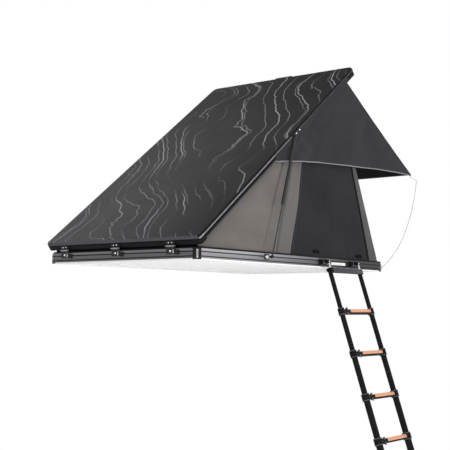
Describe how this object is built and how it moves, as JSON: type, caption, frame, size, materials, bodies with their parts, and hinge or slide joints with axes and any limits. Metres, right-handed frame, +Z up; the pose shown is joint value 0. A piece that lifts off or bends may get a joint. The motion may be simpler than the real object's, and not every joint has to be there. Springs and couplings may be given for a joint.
{
  "type": "roof top tent",
  "caption": "Hard-shell roof top tent that opens as a wedge on gas struts, with cloth walls, an awning on bowed poles and a telescopic ladder.",
  "frame": {"origin": "centre of the underside, level with the bottom of the mounting bars", "axes": "+X to the opening end, -Y to the ladder side, +Z up"},
  "size_m": [2.8918, 2.0858, 3.6653],
  "materials": {
    "anodised_aluminium": "satin anodised",
    "dark_anodised_aluminium": "satin dark anodised",
    "printed_lid_panel": "satin printed",
    "black_coated_steel": "powder coated",
    "zinc_steel": "bright plated",
    "black_nylon": "moulded",
    "white_composite": "white coated",
    "seal_rubber": "matt",
    "mattress_fabric": "woven cover over foam",
    "quilted_lining": "quilted",
    "canvas": "woven",
    "coated_polyester": "coated weave",
    "mesh": "fine mesh",
    "white_fibreglass": "smooth",
    "black_anodised_ladder": "black anodised"
  },
  "bodies": {
    "base": {"base_rail_near": "anodised_aluminium", "base_rail_far": "anodised_aluminium", "base_rail_hinge_end": "anodised_aluminium", "base_rail_opening_end": "anodised_aluminium", "base_corner_connectors": "black_nylon", "floor_panel": "white_composite", "roof_bar_rails": "anodised_aluminium", "base_seal": "seal_rubber", "mattress": "mattress_fabric", "hinge_base_leaves": "black_coated_steel", "hinge_pins": "zinc_steel", "hinge_flap": "coated_polyester", "strut_base_brackets": "zinc_steel", "pole_sockets": "black_nylon", "latch_anchors": "zinc_steel", "ladder_brackets": "black_coated_steel", "wall_near": "canvas", "wall_far": "canvas", "wall_rear": "canvas", "door_panel_near": "mesh", "door_panel_far": "mesh", "window_panel_rear": "mesh"},
    "lid": {"lid_skin": "printed_lid_panel", "lid_rail_near": "dark_anodised_aluminium", "lid_rail_far": "dark_anodised_aluminium", "lid_rail_hinge_end": "dark_anodised_aluminium", "lid_rail_opening_end": "dark_anodised_aluminium", "lid_corner_caps": "black_nylon", "lid_liner": "quilted_lining", "lid_keder_rail": "dark_anodised_aluminium", "hinge_lid_leaves": "black_coated_steel", "strut_lid_brackets": "black_coated_steel", "latch_keepers": "zinc_steel", "lid_handle": "black_nylon", "gusset_back_near": "coated_polyester", "gusset_back_far": "coated_polyester"},
    "awning": {"awning_sheet": "coated_polyester", "gusset_front_near": "coated_polyester", "gusset_front_far": "coated_polyester"},
    "strut_rod_near": {"strut_rod_near": "zinc_steel"},
    "strut_rod_far": {"strut_rod_far": "zinc_steel"},
    "strut_cylinder_near": {"strut_cylinder_near": "black_coated_steel"},
    "strut_cylinder_far": {"strut_cylinder_far": "black_coated_steel"},
    "awning_pole_near": {"awning_pole_near": "white_fibreglass"},
    "awning_pole_far": {"awning_pole_far": "white_fibreglass"},
    "latch_strap_near": {"latch_strap_near": "seal_rubber"},
    "latch_strap_far": {"latch_strap_far": "seal_rubber"},
    "ladder_knob_left": {"ladder_knob_left": "black_nylon"},
    "ladder_knob_right": {"ladder_knob_right": "black_nylon"},
    "ladder_top": {"ladder_top": "black_anodised_ladder"},
    "ladder_section_1": {"ladder_section_1": "black_anodised_ladder"},
    "ladder_section_2": {"ladder_section_2": "black_anodised_ladder"},
    "ladder_section_3": {"ladder_section_3": "black_anodised_ladder"},
    "ladder_section_4": {"ladder_section_4": "black_anodised_ladder"},
    "ladder_section_5": {"ladder_section_5": "black_anodised_ladder"},
    "ladder_section_6": {"ladder_section_6": "black_anodised_ladder"}
  },
  "joints": [
    {"name": "lid_hinge", "type": "hinge", "parent": "base", "child": "lid", "pos_m": [-1.149, 0, 0.085], "axis": [0, 1, 0], "range_deg": [0, 37.2], "stiffness_Nm_per_rad": 150, "springref_deg": -171.89, "deforming": ["hinge_flap", "wall_near", "wall_far", "wall_rear", "door_panel_near", "door_panel_far", "window_panel_rear", "gusset_back_near", "gusset_back_far"]},
    {"name": "awning_fold", "type": "hinge", "parent": "lid", "child": "awning", "pos_m": [0.58408, 0, 1.39257], "axis": [0, 1, 0], "range_deg": [0, 113.35], "deforming": ["awning_sheet", "gusset_front_near", "gusset_front_far"]},
    {"name": "strut_tilt_near", "type": "hinge", "parent": "base", "child": "strut_rod_near", "pos_m": [-0.421, -0.682, 0.044], "axis": [0, 1, 0], "range_deg": [0, 64.57]},
    {"name": "strut_stroke_near", "type": "slide", "parent": "strut_rod_near", "child": "strut_cylinder_near", "axis": [0.3124, 0, 0.95], "range_m": [-0.3255, 0]},
    {"name": "strut_tilt_far", "type": "hinge", "parent": "base", "child": "strut_rod_far", "pos_m": [-0.421, 0.682, 0.044], "axis": [0, 1, 0], "range_deg": [0, 64.57]},
    {"name": "strut_stroke_far", "type": "slide", "parent": "strut_rod_far", "child": "strut_cylinder_far", "axis": [0.3124, 0, 0.95], "range_m": [-0.3255, 0]},
    {"name": "pole_pull_near", "type": "slide", "parent": "base", "child": "awning_pole_near", "axis": [0.9063, -0.0192, 0.4222], "range_m": [0, 0.03]},
    {"name": "pole_pull_far", "type": "slide", "parent": "base", "child": "awning_pole_far", "axis": [0.9063, 0.0192, 0.4222], "range_m": [0, 0.03]},
    {"name": "latch_swing_near", "type": "hinge", "parent": "base", "child": "latch_strap_near", "pos_m": [1.189, -0.33, 0.059], "axis": [0, -1, 0], "range_deg": [0, 180]},
    {"name": "latch_swing_far", "type": "hinge", "parent": "base", "child": "latch_strap_far", "pos_m": [1.189, 0.33, 0.059], "axis": [0, -1, 0], "range_deg": [0, 180]},
    {"name": "knob_turn_left", "type": "hinge", "parent": "base", "child": "ladder_knob_left", "pos_m": [0.2515, -0.64, 0.038], "axis": [0, -1, 0], "continuous": true},
    {"name": "knob_turn_right", "type": "hinge", "parent": "base", "child": "ladder_knob_right", "pos_m": [0.6685, -0.64, 0.038], "axis": [0, -1, 0], "continuous": true},
    {"name": "ladder_swing", "type": "hinge", "parent": "base", "child": "ladder_top", "pos_m": [0.505, -0.662, 0.045], "axis": [-1, 0, 0], "range_deg": [0, 72]},
    {"name": "ladder_slide_1", "type": "slide", "parent": "ladder_top", "child": "ladder_section_1", "axis": [0, 0.309, 0.9511], "range_m": [0, 0.24]},
    {"name": "ladder_slide_2", "type": "slide", "parent": "ladder_section_1", "child": "ladder_section_2", "axis": [0, 0.309, 0.9511], "range_m": [0, 0.24]},
    {"name": "ladder_slide_3", "type": "slide", "parent": "ladder_section_2", "child": "ladder_section_3", "axis": [0, 0.309, 0.9511], "range_m": [0, 0.24]},
    {"name": "ladder_slide_4", "type": "slide", "parent": "ladder_section_3", "child": "ladder_section_4", "axis": [0, 0.309, 0.9511], "range_m": [0, 0.24]},
    {"name": "ladder_slide_5", "type": "slide", "parent": "ladder_section_4", "child": "ladder_section_5", "axis": [0, 0.309, 0.9511], "range_m": [0, 0.24]},
    {"name": "ladder_slide_6", "type": "slide", "parent": "ladder_section_5", "child": "ladder_section_6", "axis": [0, 0.309, 0.9511], "range_m": [0, 0.24]}
  ],
  "couplings": [
    {"joint": "awning_fold", "follows": "lid_hinge", "ratio": 3.0457},
    {"joint": "strut_tilt_near", "follows": "lid_hinge", "ratio": 1.7344},
    {"joint": "strut_stroke_near", "follows": "lid_hinge", "m_per_rad": -0.50056},
    {"joint": "strut_tilt_far", "follows": "lid_hinge", "ratio": 1.7344},
    {"joint": "strut_stroke_far", "follows": "lid_hinge", "m_per_rad": -0.50056},
    {"joint": "ladder_slide_2", "follows": "ladder_slide_1", "ratio": 1},
    {"joint": "ladder_slide_3", "follows": "ladder_slide_1", "ratio": 1},
    {"joint": "ladder_slide_4", "follows": "ladder_slide_1", "ratio": 1},
    {"joint": "ladder_slide_5", "follows": "ladder_slide_1", "ratio": 1},
    {"joint": "ladder_slide_6", "follows": "ladder_slide_1", "ratio": 1}
  ]
}
